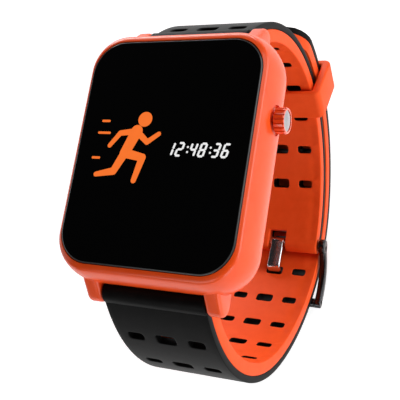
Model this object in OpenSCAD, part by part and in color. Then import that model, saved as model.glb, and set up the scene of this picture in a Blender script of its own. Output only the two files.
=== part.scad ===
// Running watch: a rectangular case with a glass front, a push-and-turn crown,
// a two-layer perforated sports strap, a pin buckle and a sliding keeper.
// Frame: origin at the centre of the case back's outer face. +Z leaves the
// display, +X points at the crown side, +Y points at the 12 o'clock end.
// The strap is fastened. It runs round a circle, the loop, below the case.
// Loop angles are measured from straight down, positive to the 6 o'clock side.

/* [Case] */
// Case width between the two sides, without the crown
case_w = 36.4; // [33:0.1:46]
// Case length from end to end, without the lugs
case_l = 45.4; // [41:0.1:56]
// Case thickness from the back to the top of the glass
case_t = 10.8; // [10:0.1:14]
// Corner radius of the case outline
corner_r = 7.6; // [6.5:0.1:9.5]
// Radius of the bulging side faces
side_r = 11; // [9:0.5:20]
// Fillet between the side faces and the front and back edges
edge_r = 1.1; // [0.4:0.1:1.2]
// Wall between the inner cavity and the sides
side_wall = 3.5; // [3:0.1:4.5]
// Wall between the inner cavity and the two ends
end_wall = 3.8; // [3.4:0.1:5]
// Rim of the case beside the glass
rim_w = 1.7; // [1.4:0.1:2.5]
// Rim of the case above and below the glass
rim_end = 2.3; // [1.8:0.1:3]

/* [Front] */
// Thickness of the cover glass
glass_t = 1.1; // [0.8:0.1:1.6]
// Bevel round the front edge of the glass
glass_bevel = 0.25; // [0.15:0.05:0.4]
// Thickness of the display panel
display_t = 1.5; // [1:0.1:2]
// Thickness of the chassis plate under the display
chassis_t = 0.8; // [0.5:0.1:1.2]

/* [Back] */
// Thickness of the rear cover
cover_t = 1.3; // [1.1:0.1:1.8]
// Ledge of the case that carries the rear cover and its gasket
cover_ledge = 1.2; // [1:0.1:1.6]
// Radius of the round sensor window
window_r = 5.5; // [4.5:0.1:6.5]
// Shank radius of the rear cover screws
screw_r = 0.6; // [0.5:0.05:0.8]

/* [Lugs] */
// Distance of the lug pins from the ends of the case
lug_reach = 1.1; // [0.9:0.1:2.5]
// Height of the lug pins above the case back
pin_z = 2.6; // [2.2:0.1:3.4]
// Thickness of each lug across the watch
lug_t = 3; // [2.2:0.1:3.4]
// Radius of the rounded lug tips
lug_r = 2; // [1.8:0.1:2.4]

/* [Strap] */
// Width of the strap
strap_w = 20; // [16:0.5:22]
// Thickness of the coloured inner layer
inner_t = 2.5; // [1.8:0.1:3]
// Thickness of the black outer layer
outer_t = 1.4; // [1.2:0.1:2.4]
// Depth of the loop's centre below the case back
loop_drop = 22.2; // [20:0.1:30]
// Clearance between the two strap halves where they overlap
lap_gap = 0.9; // [0.4:0.1:1.2]
// Distance between two rows of holes along the strap
row_pitch = 9.2; // [8:0.1:11]
// Distance of the upper half's first row of holes from its lug pin
first_row = 3.8; // [3.2:0.1:6]
// Distance from the middle of the strap to the side columns of holes
column_x = 6.1; // [5:0.1:6.5]
// Length across the strap of the middle holes
hole_w = 3.9; // [3.5:0.1:4.4]
// Width along the strap of the middle holes
hole_h = 2.3; // [2.1:0.1:2.6]
// Length across the strap of the side holes
side_hole_w = 3.2; // [2.6:0.1:3.8]
// Width along the strap of the side holes
side_hole_h = 1.9; // [1.4:0.1:2.2]
// Loop angle at which the tail of the lower half ends
tail_angle = -87; // [-100:1:-80]

/* [Buckle] */
// Loop angle of the buckle bar
buckle_angle = 3.2; // [0:0.1:5]
// Loop angle of the row of holes that the tongue passes through
tongue_angle = 15.3; // [14.5:0.1:17]
// Loop angle of the crossbar
crossbar_angle = 23.2; // [22:0.1:26]
// Thickness of the buckle frame's arms across the strap
arm_t = 1.6; // [1.2:0.1:2.2]
// Radius of the crossbar
crossbar_r = 1.1; // [0.9:0.1:1.5]
// Width of the tongue
tongue_w = 3.2; // [2.4:0.1:3.3]
// Thickness of the tongue
tongue_t = 1; // [0.8:0.1:1.1]

/* [Keeper] */
// Length of the keeper along the strap
keeper_l = 7.4; // [5:0.1:10]
// Loop angle of the middle of the keeper
keeper_angle = -61.5; // [-70:0.5:-50]
// Wall of the keeper inside the loop
keeper_in = 1.2; // [0.9:0.1:1.6]
// Wall of the keeper outside the loop
keeper_out = 1.7; // [1.2:0.1:2.2]
// Walls of the keeper beside the strap
keeper_side = 1.9; // [1.4:0.1:2.4]

/* [Crown] */
// Distance of the crown from the case's middle towards 12 o'clock
crown_y = 7.6; // [0:0.1:9]
// Radius of the crown
crown_r = 2.25; // [1.8:0.05:2.4]
// Length of the crown outside the case
crown_l = 2; // [1.6:0.1:3]
// Travel of the crown when it is pressed
crown_travel = 0.3; // [0.2:0.05:0.35]
// Number of grooves round the crown
crown_grooves = 18; // [12:1:24]

/* [Inside] */
// Radius of the vibration motor
motor_r = 4; // [3.5:0.1:4.2]
// Height of the vibration motor
motor_h = 2.7; // [2.4:0.1:3]
// Thickness of the battery
battery_t = 3; // [2.4:0.1:3]
// Thickness of the main board
board_t = 0.8; // [0.6:0.1:1]

/* [Hidden] */
$fn = 64;

// Colours
orange_col = "#F25A2C";
black_col = "#1B1C1E";
glass_col = "#050506";
steel_col = "#C9CCD1";
dark_metal_col = "#34363A";
board_col = "#1F5B3A";
amber_col = "#B9772E";
grey_col = "#6E7277";

// Clearances
slip = 0.05;         // radial clearance of a running fit
fit = 0.1;           // clearance of pieces seated in a recess
loose = 0.35;        // clearance of soft or sliding pieces
over = 1;            // how far a cut runs past the face that it opens

// Levels above the case back
half_t = case_t / 2;
edge_steps = 5;                          // flats in each edge fillet
side_steps = 12;                         // flats in each bulging side
glass_z = case_t - glass_t;
adhesive_t = 0.15;
display_z = glass_z - display_t;
chassis_z = display_z - chassis_t;
part_room = 1.15;                        // room for parts above the main board
board_z = chassis_z - part_room - board_t;
sensor_board_t = 0.5;
sensor_board_z = cover_t + 0.05;
pad_t = 0.2;
pad_z = sensor_board_z + sensor_board_t + 0.05;
battery_z = pad_z + pad_t;

// Plan sizes
glass_w = case_w - 2 * rim_w - 2 * fit;
glass_l = case_l - 2 * rim_end - 2 * fit;
glass_r = corner_r - rim_w;
cavity_w = case_w - 2 * side_wall;
cavity_l = case_l - 2 * end_wall;
cavity_r = 4;
cover_w = cavity_w + 2 * cover_ledge;
cover_l = cavity_l + 2 * cover_ledge;
cover_r = cavity_r + cover_ledge;
board_w = cavity_w - 4 * fit;
board_l = cavity_l - 4 * fit;
board_r = cavity_r - 2 * fit;
boss_r = 1.7;
boss_x = cavity_w / 2 - 2;
boss_y = cavity_l / 2 - 2;
boss_room = boss_r + 0.25;
screw_head_r = 2 * screw_r;
screw_head_t = 0.6;
screw_l = 4.2;
screw_slot = [1.3, 0.3];                 // length and width of a drive slot
screw_slot_t = 0.4;
gasket_t = 0.2;
gasket_inset = 0.2;
contact_r = 0.9;
contact_bump = 0.4;                      // reach of the contacts above the cover
contact_places = [for (x = [-1, 1]) [x * 2.5, window_r + 4.5]];
led_x = 2.6;
led_size = [1.2, 1.8];
photodiode_size = [2, 2.4];

// Lugs and spring bars
lug_gap = strap_w + 2 * fit;
lug_root = 2.4;                            // how far a lug reaches into the case
lug_step = 0.35;                         // where its top meets the end of the case
lug_rise = 2.1;                          // height of that point above the pin, in tip radii
pin_y = case_l / 2 + lug_reach;
barrel_r = 2;
barrel_room = 0.35;
bar_r = 0.75;
bar_l = strap_w - 0.4;
bar_bore_r = 0.58;
bar_end_t = 0.4;
tip_r = 0.4;
tip_flange_r = bar_bore_r - slip;
tip_flange_t = 0.5;
tip_bite = 1.2;                          // depth of a tip in its lug
spring_r = 0.5;
spring_wire_r = 0.12;
spring_coils = 12;

// Loop of the strap
loop_z = -loop_drop;
mid_r = norm([pin_y, pin_z - loop_z]);   // face between the strap's two layers
in_r = mid_r - inner_t;
out_r = mid_r + outer_t;
pin_angle = 90 + atan2(pin_z - loop_z, pin_y);
lap_r = out_r + lap_gap + inner_t;       // the same face where the tail overlaps
lap_out_r = lap_r + outer_t;

// Direction, in the plane of the loop, of a loop angle
function out_dir(a) = [-sin(a), -cos(a)];
// Loop angle of a direction
function dir_angle(v) = atan2(-v.x, -v.y);

// The lower half leaves the inner circle at rise_start and reaches the outer
// one at rise_end, through two arcs that are tangent to them and to each other.
rise_start = 62;
rise_end = -14;
rise = lap_r - mid_r;
rise_k = 1 - cos(rise_start - rise_end);
arc_shift = (2 * rise + sqrt(4 * rise * rise - 2 * rise_k * rise * rise)) / (2 * rise_k);
flat_c = -arc_shift * out_dir(rise_start);
flat_r = mid_r + arc_shift;
tight_c = arc_shift * out_dir(rise_end);
tight_r = lap_r - arc_shift;
turn_angle = dir_angle(tight_c - flat_c);
turn_seen = dir_angle(flat_c + flat_r * out_dir(turn_angle));

// Distance from the loop's centre to an arc, along a loop angle
function arc_hit(c, r, a) =
    let (d = c * out_dir(a)) d + sqrt(r * r - c * c + d * d);
function lower_r(a) =
    a > turn_seen ? arc_hit(flat_c, flat_r, a) : arc_hit(tight_c, tight_r, a);

// Lengths along the lower half, measured from its lug pin
function arc_len(r, a) = r * a * PI / 180;
len_1 = arc_len(mid_r, pin_angle - rise_start);
len_2 = len_1 + arc_len(flat_r, rise_start - turn_angle);
len_3 = len_2 + arc_len(tight_r, turn_angle - rise_end);
len_4 = len_3 + arc_len(lap_r, rise_end - tail_angle);
tongue_point = lower_r(tongue_angle) * out_dir(tongue_angle);
tongue_dir = dir_angle(tongue_point - tight_c);
tongue_s = len_2 + arc_len(tight_r, turn_angle - tongue_dir);

// Where a length along the lower half lies: [arc centre, radius, angle]
function lower_at(s) =
    s < len_1 ? [[0, 0], mid_r, pin_angle - s / mid_r * 180 / PI] :
    s < len_2 ? [flat_c, flat_r, rise_start - (s - len_1) / flat_r * 180 / PI] :
    s < len_3 ? [tight_c, tight_r, turn_angle - (s - len_2) / tight_r * 180 / PI] :
    [[0, 0], lap_r, rise_end - (s - len_3) / lap_r * 180 / PI];

// Points of the halves' routes, t outside the face between the two layers
route_step = 3;
function arc_points(c, r, a1, a2) =
    let (n = ceil((a1 - a2) / route_step)) [for (i = [1 : n]) c + r * out_dir(a1 + (a2 - a1) * i / n)];
function lower_route(t) = concat(
    [(mid_r + t) * out_dir(pin_angle)],
    arc_points([0, 0], mid_r + t, pin_angle, rise_start),
    arc_points(flat_c, flat_r + t, rise_start, turn_angle),
    arc_points(tight_c, tight_r + t, turn_angle, rise_end),
    arc_points([0, 0], lap_r + t, rise_end, tail_angle));
function upper_route(t) = concat(
    [(mid_r + t) * out_dir(buckle_angle)],
    arc_points([0, 0], mid_r + t, buckle_angle, -pin_angle));
function backwards(points) = [for (i = [len(points) - 1 : -1 : 0]) points[i]];

// Rows of holes
row_margin = 6;
upper_margin = 14;                       // plain length before the buckle bar
rows_back = floor((tongue_s - row_margin) / row_pitch);
rows_on = floor((len_4 - tongue_s - row_margin) / row_pitch);
upper_len = arc_len(mid_r, pin_angle + buckle_angle);
upper_rows = floor((upper_len - first_row - upper_margin) / row_pitch) + 1;
hole_corner = 0.6;
tail_corner_r = 6;

// Buckle
end_r = (in_r + out_r) / 2;              // radius of the buckle bar's circle
end_barrel_r = (out_r - in_r) / 2;
buckle_pos = end_r * out_dir(buckle_angle);
cap_angle = buckle_angle - 1.8;          // where the outer layer stops over the barrel
crossbar_seat = 0.25;
crossbar_pos = (lower_r(crossbar_angle) + outer_t + crossbar_seat + crossbar_r)
    * out_dir(crossbar_angle);
ear_r = 1.7;
arm_x = strap_w / 2 + loose;
arm_bow_r = 12;
arm_h = 1.9;
hub_r = 1.35;
notch_w = tongue_w + 0.7;
notch_angle = 5;
tongue_seat = 0.1;
tongue_drop = 0.35;                      // its arm runs this far inside the pin's circle
tongue_bend = -0.9;                      // angle from the row of holes to the bend
tongue_rise = 0.9;                       // how far it stands out of the strap
tongue_nose = 2.2;                       // length beyond the crossbar
nose_angle = 80;

// Crown and switch
crown_z = half_t;
crown_face = case_w / 2 - 0.5;           // floor of the crown's pocket
crown_x0 = crown_face + crown_travel + 0.15;
crown_proud = 0.1;                       // reach of the disc beyond the cap
crown_x1 = case_w / 2 + crown_l - crown_proud;
crown_disc_r = crown_r - 0.5;
disc_seat = 0.3;
groove_r = 0.16;
pocket_r = crown_r + loose;
tube_r = 1.1;
tube_bore_r = 0.8;
stem_r = 0.5;
collar_t = 0.6;
collar_r = 1.3;
stem_head_t = 0.35;
stem_head_r = 0.8;
collar_x = cavity_w / 2 - fit - collar_t;
stem_x = collar_x - fit - stem_head_t;
plunger_x = stem_x - fit;
switch_x = plunger_x - 0.6;
switch_l = 3;
switch_w = 5;
switch_h = 2.6;
plunger_r = 0.5;
plunger_l = 1.1;

// Display and boards
flex_w = 8;
flex_t = 0.15;
flex_in = 3;                             // how far the flex reaches over the board
window_y = 2;                            // middle of the chassis' two windows
chip_x = 2 - board_w / 2;
chips = [[chip_x, -4, 4, 4, 0.7], [chip_x, -9, 3, 3, 0.6], [chip_x + 1, 3, 2, 3, 0.5]];
can_size = [11, 11, 1];
can_place = [-5.5, -5];
can_wall = 0.2;
antenna_size = [10, 4];
antenna_in = 1.5;
plug_size = [4, 2, 1.2];

// Bays of the cavity
bay_gap = 0.4;
motor_x = cavity_w / 2 - motor_r - 0.8;
motor_y = -cavity_l / 2 + motor_r + 5;
battery_w = cavity_w - 2 * motor_r - 3 * bay_gap - 0.8;
battery_x = -cavity_w / 2 + bay_gap + battery_w / 2;
battery_l = cavity_l - 2 * (2 + boss_room) - 2 * bay_gap;
motor_wall = 0.25;
motor_pin_r = 0.4;
hub_wall = 0.7;
rotor_sweep = 170;                       // angle that the weight fills

// ---- helpers ----

// Rounded rectangle about the origin
module plate2d(w, l, r) {
    square([w - 2 * r, l], center = true);
    square([w, l - 2 * r], center = true);
    for (x = [-1, 1], y = [-1, 1]) translate([x * (w / 2 - r), y * (l / 2 - r)]) circle(r);
}

module plate(w, l, r, z, t) {
    translate([0, 0, z]) linear_extrude(t) plate2d(w, l, r);
}

// Box between two corners
module block(a, b) {
    translate(a) cube(b - a);
}

// Child of the plane Y-Z, extruded along X from x0 over length l
module along_x(x0, l) {
    translate([x0, 0, 0]) rotate([90, 0, 90]) linear_extrude(l) children();
}

// Solid cylinder along X at height z and place y
module rod_x(x0, l, r, y = 0, z = 0) {
    translate([x0, y, z]) rotate([0, 90, 0]) cylinder(h = l, r = r);
}

// Band of a ring about an axis along X, centred on c (from the loop's centre),
// between two radii and two loop angles, and w wide
module ring_band(c, r1, r2, a1, a2, w) {
    translate([0, c.x, loop_z + c.y]) rotate([90, 0, 90]) rotate([0, 0, -90 - a1])
        rotate_extrude(angle = a1 - a2, $fn = 120)
            translate([r1, -w / 2]) square([r2 - r1, w]);
}

// Children drawn where the strap's outside is -Z, at loop angle a about c
module at_angle(c, a) {
    translate([0, c.x, loop_z + c.y]) rotate([-a, 0, 0]) children();
}

// A row of three holes through radii r1 to r2
module hole_row(c, r1, r2, a) {
    at_angle(c, a) translate([0, 0, -r2 - 1]) linear_extrude(r2 - r1 + 2) {
        plate2d(hole_w, hole_h, hole_corner, $fn = 16);
        for (x = [-1, 1]) translate([x * column_x, 0])
            plate2d(side_hole_w, side_hole_h, hole_corner, $fn = 16);
    }
}

// Rod through the strap at a place in the plane of the loop
module loop_rod(p, r, x0, l) {
    rod_x(x0, l, r, p.x, loop_z + p.y);
}

// ---- case ----

// Half of the case's cross-section, w wide: a bulging side between two fillets,
// each drawn as a run of short flats
module side_profile(w) {
    fillet_x = w - side_r + sqrt(pow(side_r - edge_r, 2) - pow(half_t - edge_r, 2));
    tangent_a = asin((half_t - edge_r) / (side_r - edge_r));
    lower_fillet = [for (i = [0 : edge_steps])
        let (a = -90 + (90 - tangent_a) * i / edge_steps)
        [fillet_x + edge_r * cos(a), edge_r + edge_r * sin(a)]];
    bulge = [for (i = [1 : side_steps - 1])
        let (a = tangent_a * (2 * i / side_steps - 1))
        [w - side_r + side_r * cos(a), half_t + side_r * sin(a)]];
    upper_fillet = [for (p = backwards(lower_fillet)) [p.x, case_t - p.y]];
    polygon(concat([[0, 0]], lower_fillet, bulge, upper_fillet, [[0, case_t]]));
}

module full_profile(w) {
    for (m = [0, 1]) mirror([m, 0]) side_profile(w);
}

module case_outline() {
    rotate([90, 0, 0]) linear_extrude(case_l - 2 * corner_r, center = true)
        full_profile(case_w / 2);
    rotate([90, 0, 90]) linear_extrude(case_w - 2 * corner_r, center = true)
        full_profile(case_l / 2);
    for (x = [-1, 1], y = [-1, 1])
        translate([x * (case_w / 2 - corner_r), y * (case_l / 2 - corner_r), 0])
            rotate_extrude() side_profile(corner_r);
}

// Outline of a lug in the plane Y-Z, at the +Y end
module lug_outline() {
    root_y = case_l / 2 - lug_root;
    top = [case_l / 2 - lug_step, pin_z + lug_rise * lug_r];
    to_top = top - [pin_y, pin_z];
    lean = atan2(to_top.y, to_top.x) - acos(lug_r / norm(to_top));
    touch = [pin_y, pin_z] + lug_r * [cos(lean), sin(lean)];
    translate([pin_y, pin_z]) circle(lug_r);
    polygon([[root_y, pin_z - lug_r], [pin_y, pin_z - lug_r], [pin_y, pin_z], touch, top,
             [root_y, top.y]]);
}

module case_body() {
    color(orange_col) difference() {
        union() {
            difference() {
                case_outline();
                // seat of the glass
                plate(glass_w + 2 * fit, glass_l + 2 * fit, glass_r + fit,
                      glass_z - adhesive_t, case_t);
                // inner cavity and seat of the rear cover
                plate(cavity_w, cavity_l, cavity_r, -over, case_t + 2 * over);
                plate(cover_w, cover_l, cover_r, -over, cover_t + over);
            }
            // screw bosses in the corners of the cavity
            for (x = [-1, 1], y = [-1, 1])
                translate([x * boss_x, y * boss_y, cover_t])
                    cylinder(h = board_z - cover_t - fit, r = boss_r);
            // four lugs
            for (x = [-1, 1], m = [0, 1]) mirror([0, m, 0])
                along_x(x * (lug_gap + lug_t) / 2 - lug_t / 2, lug_t) lug_outline();
        }
        // room for the strap's barrels between the lugs
        for (y = [-1, 1]) rod_x(-lug_gap / 2, lug_gap, barrel_r + barrel_room, y * pin_y, pin_z);
        // blind holes for the spring bars' tips
        for (x = [-1, 1], y = [-1, 1])
            rod_x(x * (lug_gap + tip_bite + fit) / 2 - (tip_bite + fit) / 2, tip_bite + fit,
                  tip_r + slip, y * pin_y, pin_z);
        // holes for the rear screws
        for (x = [-1, 1], y = [-1, 1])
            translate([x * boss_x, y * boss_y, 0]) cylinder(h = screw_l + loose, r = screw_r);
        // bore and pocket of the crown
        rod_x(cavity_w / 2 - over, case_w, tube_r, crown_y, crown_z);
        rod_x(crown_face, case_w, pocket_r, crown_y, crown_z);
    }
}

module rear_cover() {
    color(black_col) difference() {
        plate(cover_w - 2 * fit, cover_l - 2 * fit, cover_r - fit, 0, cover_t - gasket_t);
        translate([0, 0, -over]) {
            cylinder(h = cover_t + 2 * over, r = window_r + slip);
            for (p = contact_places) translate([p.x, p.y, 0])
                cylinder(h = cover_t + 2 * over, r = contact_r);
            for (x = [-1, 1], y = [-1, 1]) translate([x * boss_x, y * boss_y, 0]) {
                cylinder(h = cover_t + 2 * over, r = screw_r + slip);
                cylinder(h = over + screw_head_t + fit, r = screw_head_r + fit);
            }
        }
    }
}
// Inner edge of the rear gasket and of the glass adhesive
module inner_edge() {
    plate2d(cavity_w + 2 * gasket_inset, cavity_l + 2 * gasket_inset, cavity_r + gasket_inset);
}

module rear_gasket() {
    color(grey_col) translate([0, 0, cover_t - gasket_t]) linear_extrude(gasket_t)
        difference() {
            plate2d(cover_w - 3 * gasket_inset, cover_l - 3 * gasket_inset,
                    cover_r - 1.5 * gasket_inset);
            inner_edge();
        }
}

module rear_screws() {
    color(steel_col) for (x = [-1, 1], y = [-1, 1]) translate([x * boss_x, y * boss_y, 0])
        difference() {
            union() {
                translate([0, 0, fit]) cylinder(h = screw_head_t, r = screw_head_r);
                cylinder(h = screw_l, r = screw_r - slip / 2);
            }
            for (a = [0, 90]) rotate(a)
                linear_extrude(fit + screw_slot_t) square(screw_slot, center = true);
        }
}

module sensor_window() {
    color(glass_col) cylinder(h = cover_t - gasket_t, r = window_r);
}

module sensor_board() {
    color(board_col) translate([0, 0, sensor_board_z]) cylinder(h = sensor_board_t, r = window_r + 1);
}

module sensor_leds() {
    color(steel_col) for (x = [-1, 1]) translate([x * led_x, 0, cover_t - gasket_t])
        linear_extrude(sensor_board_z - cover_t + gasket_t) square(led_size, center = true);
}

module photodiode() {
    color(grey_col) translate([0, 0, cover_t - gasket_t])
        linear_extrude(sensor_board_z - cover_t + gasket_t)
            square(photodiode_size, center = true);
}

module charge_contacts() {
    color("#D8B25A") for (p = contact_places) translate([p.x, p.y, 0])
        cylinder(h = cover_t + contact_bump, r = contact_r);
}

// ---- front ----

module cover_glass() {
    color(glass_col) {
        plate(glass_w, glass_l, glass_r, glass_z, glass_t - glass_bevel);
        plate(glass_w - 2 * glass_bevel, glass_l - 2 * glass_bevel, glass_r - glass_bevel,
              glass_z, glass_t);
    }
}

module glass_adhesive() {
    color(black_col) translate([0, 0, glass_z - adhesive_t]) linear_extrude(adhesive_t)
        difference() {
            plate2d(glass_w - 2 * gasket_inset, glass_l - 2 * gasket_inset,
                    glass_r - gasket_inset);
            inner_edge();
        }
}

module display_panel() {
    color("#101114") plate(board_w, board_l, board_r, display_z, display_t);
}

// Folded ribbon from under the display to the top of the main board
module display_flex() {
    y0 = -board_l / 2 + fit;
    z0 = board_z + board_t;
    color(amber_col) {
        block([-flex_w / 2, y0, display_z - flex_t], [flex_w / 2, y0 + flex_in, display_z]);
        block([-flex_w / 2, y0, z0], [flex_w / 2, y0 + flex_t, display_z]);
        block([-flex_w / 2, y0, z0], [flex_w / 2, y0 + flex_in, z0 + flex_t]);
    }
}

module corner_cuts(z) {
    for (x = [-1, 1], y = [-1, 1]) translate([x * boss_x, y * boss_y, z])
        cylinder(h = case_t, r = boss_room);
}

module chassis() {
    color(grey_col) difference() {
        plate(board_w, board_l, board_r, chassis_z, chassis_t);
        block([-flex_w / 2 - loose, -board_l, chassis_z - over],
              [flex_w / 2 + loose, -board_l / 2 + flex_in + loose, display_z + over]);
        for (x = [-1, 1]) translate([x * board_w / 4, window_y, 0])
            plate(board_w / 4, board_l / 3, 1, chassis_z - over, chassis_t + 2 * over);
    }
}

// ---- electronics ----

module main_board() {
    color(board_col) difference() {
        plate(board_w, board_l, board_r, board_z, board_t);
        corner_cuts(board_z - over);
        // notch for the side switch and the crown's stem
        block([switch_x - switch_l - fit, crown_y - switch_w / 2 - fit, 0],
              [case_w, crown_y + switch_w / 2 + fit, case_t]);
    }
}

module board_chips() {
    z = board_z + board_t;
    color("#2B2D31") for (c = chips) translate([c[0], c[1], z]) cube([c[2], c[3], c[4]]);
}

module shield_can() {
    z = board_z + board_t;
    color(steel_col) difference() {
        translate([can_place.x, can_place.y, z]) cube(can_size);
        translate([can_place.x + can_wall, can_place.y + can_wall, z - over])
            cube(can_size + [-2 * can_wall, -2 * can_wall, over - can_wall]);
    }
}

module gps_antenna() {
    z = board_z + board_t;
    y1 = board_l / 2 - antenna_in;
    color("#E4DCC8") block([-antenna_size.x / 2, y1 - antenna_size.y, z],
                           [antenna_size.x / 2, y1, z + part_room - fit]);
}

module battery() {
    color("#B8BCC4") translate([battery_x, 0, 0])
        plate(battery_w, battery_l, 1, battery_z, battery_t);
}

module battery_pad() {
    color(black_col) translate([battery_x, 0, pad_z]) linear_extrude(pad_t)
        square([battery_w - 2, battery_l - 2], center = true);
}

module battery_plug() {
    y1 = -battery_l / 2 - 2 * fit;
    color("#EDE9DF") block([battery_x - plug_size.x / 2, y1 - plug_size.y, board_z - plug_size.z],
                           [battery_x + plug_size.x / 2, y1, board_z]);
}

module motor_can() {
    color(steel_col) translate([motor_x, motor_y, pad_z]) {
        difference() {
            cylinder(h = motor_h, r = motor_r);
            translate([0, 0, motor_wall])
                cylinder(h = motor_h - 2 * motor_wall, r = motor_r - motor_wall);
        }
        cylinder(h = motor_h, r = motor_pin_r);
    }
}

// Eccentric weight that turns on the can's fixed pin
module motor_rotor() {
    h = motor_h - 2 * motor_wall - 2 * fit;
    color(amber_col) translate([motor_x, motor_y, pad_z + motor_wall + fit]) difference() {
        union() {
            cylinder(h = h, r = motor_pin_r + hub_wall);
            rotate_extrude(angle = rotor_sweep) square([motor_r - motor_wall - 2 * fit, h]);
        }
        translate([0, 0, -over]) cylinder(h = h + 2 * over, r = motor_pin_r + slip);
    }
}

// ---- crown ----

module crown_tube() {
    color(steel_col) difference() {
        rod_x(cavity_w / 2, crown_face - cavity_w / 2, tube_r, crown_y, crown_z);
        rod_x(cavity_w / 2 - over, case_w, tube_bore_r, crown_y, crown_z);
    }
}

module crown_collar() {
    color(dark_metal_col) difference() {
        rod_x(collar_x, collar_t, collar_r, crown_y, crown_z);
        rod_x(collar_x - over, collar_t + 2 * over, stem_r + slip, crown_y, crown_z);
    }
}

module crown_stem() {
    color(steel_col) {
        rod_x(stem_x, crown_x0 - stem_x, stem_r, crown_y, crown_z);
        rod_x(stem_x, stem_head_t, stem_head_r, crown_y, crown_z);
    }
}

module crown_oring() {
    x = (cavity_w / 2 + crown_face) / 2;
    ring_r = (tube_bore_r - slip / 2 - stem_r) / 2;
    color(black_col) translate([x, crown_y, crown_z]) rotate([0, 90, 0])
        rotate_extrude() translate([stem_r + ring_r, 0]) circle(ring_r);
}

module crown_cap() {
    color(orange_col) difference() {
        rod_x(crown_x0, crown_x1 - crown_x0, crown_r, crown_y, crown_z);
        for (i = [0 : crown_grooves - 1]) {
            a = i * 360 / crown_grooves;
            rod_x(crown_x0 - over, crown_x1 - crown_x0 + over - disc_seat, groove_r,
                  crown_y + crown_r * cos(a), crown_z + crown_r * sin(a));
        }
        rod_x(crown_x1 - disc_seat, over, crown_disc_r, crown_y, crown_z);
    }
}
module crown_disc() {
    color(steel_col) rod_x(crown_x1 - disc_seat, disc_seat + crown_proud, crown_disc_r,
                           crown_y, crown_z);
}

module switch_body() {
    color(black_col) difference() {
        block([switch_x - switch_l, crown_y - switch_w / 2, crown_z - switch_h / 2],
              [switch_x, crown_y + switch_w / 2, crown_z + switch_h / 2]);
        rod_x(plunger_x - plunger_l - crown_travel - 2 * fit, switch_w, plunger_r + slip,
              crown_y, crown_z);
    }
}

module switch_plunger() {
    color("#E8E4DA") rod_x(plunger_x - plunger_l, plunger_l, plunger_r, crown_y, crown_z);
}

// ---- spring bars ----

// A spring bar lies along X. p is its place in the plane Y-Z.
module bar_tube(p) {
    color(steel_col) difference() {
        rod_x(-bar_l / 2, bar_l, bar_r, p.x, p.y);
        rod_x(-bar_l / 2 + bar_end_t, bar_l - 2 * bar_end_t, bar_bore_r, p.x, p.y);
        rod_x(-bar_l, 2 * bar_l, tip_r + slip, p.x, p.y);
    }
}

// Tip at the side s, reaching into the lug or ear whose face is at x = face
module bar_tip(p, s, face) {
    flange_x = bar_l / 2 - bar_end_t - tip_flange_t - fit;
    color(steel_col) mirror([s < 0 ? 1 : 0, 0, 0]) {
        rod_x(flange_x, face + tip_bite - flange_x, tip_r, p.x, p.y);
        rod_x(flange_x, tip_flange_t, tip_flange_r, p.x, p.y);
    }
}

// Spring between the two tips, drawn as closed rings on a thin sleeve
module bar_spring(p) {
    flange_x = bar_l / 2 - bar_end_t - tip_flange_t - fit;
    span = 2 * flange_x;
    step = (span - 2 * spring_wire_r) / (spring_coils - 1);
    ring_r = spring_r - spring_wire_r;
    color(steel_col) translate([-span / 2, p.x, p.y]) rotate([0, 90, 0]) rotate_extrude() {
        for (i = [0 : spring_coils - 1])
            translate([ring_r, spring_wire_r + i * step]) circle(spring_wire_r, $fn = 16);
        translate([ring_r - spring_wire_r / 2, 0]) square([spring_wire_r, span]);
    }
}

lug_face = lug_gap / 2;
upper_pin = [pin_y, pin_z];
lower_pin = [-pin_y, pin_z];
buckle_pin = [buckle_pos.x, loop_z + buckle_pos.y];

module upper_bar() bar_tube(upper_pin);
module upper_tip_left() bar_tip(upper_pin, -1, lug_face);
module upper_tip_right() bar_tip(upper_pin, 1, lug_face);
module upper_spring() bar_spring(upper_pin);
module lower_bar() bar_tube(lower_pin);
module lower_tip_left() bar_tip(lower_pin, -1, lug_face);
module lower_tip_right() bar_tip(lower_pin, 1, lug_face);
module lower_spring() bar_spring(lower_pin);
module buckle_bar() bar_tube(buckle_pin);
module buckle_tip_left() bar_tip(buckle_pin, -1, arm_x);
module buckle_tip_right() bar_tip(buckle_pin, 1, arm_x);
module buckle_spring() bar_spring(buckle_pin);

// ---- strap ----

// A layer between two routes, across the strap
module layer(inner_route, outer_route) {
    along_x(-strap_w / 2, strap_w) translate([0, loop_z])
        polygon(concat(inner_route, backwards(outer_route)));
}

module upper_holes(r1, r2) {
    for (i = [0 : upper_rows - 1])
        hole_row([0, 0], r1, r2, (first_row + i * row_pitch) / mid_r * 180 / PI - pin_angle);
}

// Notch for the tongue at the buckle end of the upper half
module tongue_notch() {
    a1 = buckle_angle + end_barrel_r / end_r * 180 / PI + notch_angle;
    ring_band([0, 0], in_r - over, out_r + over, a1, buckle_angle - notch_angle, notch_w);
}

module upper_strap_outer() {
    color(black_col) difference() {
        union() {
            layer(upper_route(0), upper_route(outer_t));
            rod_x(-strap_w / 2, strap_w, barrel_r, pin_y, pin_z);
        }
        loop_rod(buckle_pos, end_barrel_r, -strap_w, 2 * strap_w);
        ring_band([0, 0], mid_r - over, out_r + over, buckle_angle + notch_angle, cap_angle,
                  strap_w + 2 * over);
        rod_x(-strap_w, 2 * strap_w, bar_r + slip, pin_y, pin_z);
        upper_holes(mid_r - over, out_r);
        tongue_notch();
    }
}

module upper_strap_inner() {
    color(orange_col) difference() {
        union() {
            layer(upper_route(-inner_t), upper_route(0));
            loop_rod(buckle_pos, end_barrel_r, -strap_w / 2, strap_w);
        }
        rod_x(-strap_w, 2 * strap_w, barrel_r, pin_y, pin_z);
        loop_rod(buckle_pos, bar_r + slip, -strap_w, 2 * strap_w);
        upper_holes(in_r, mid_r + over);
        tongue_notch();
    }
}

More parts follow.
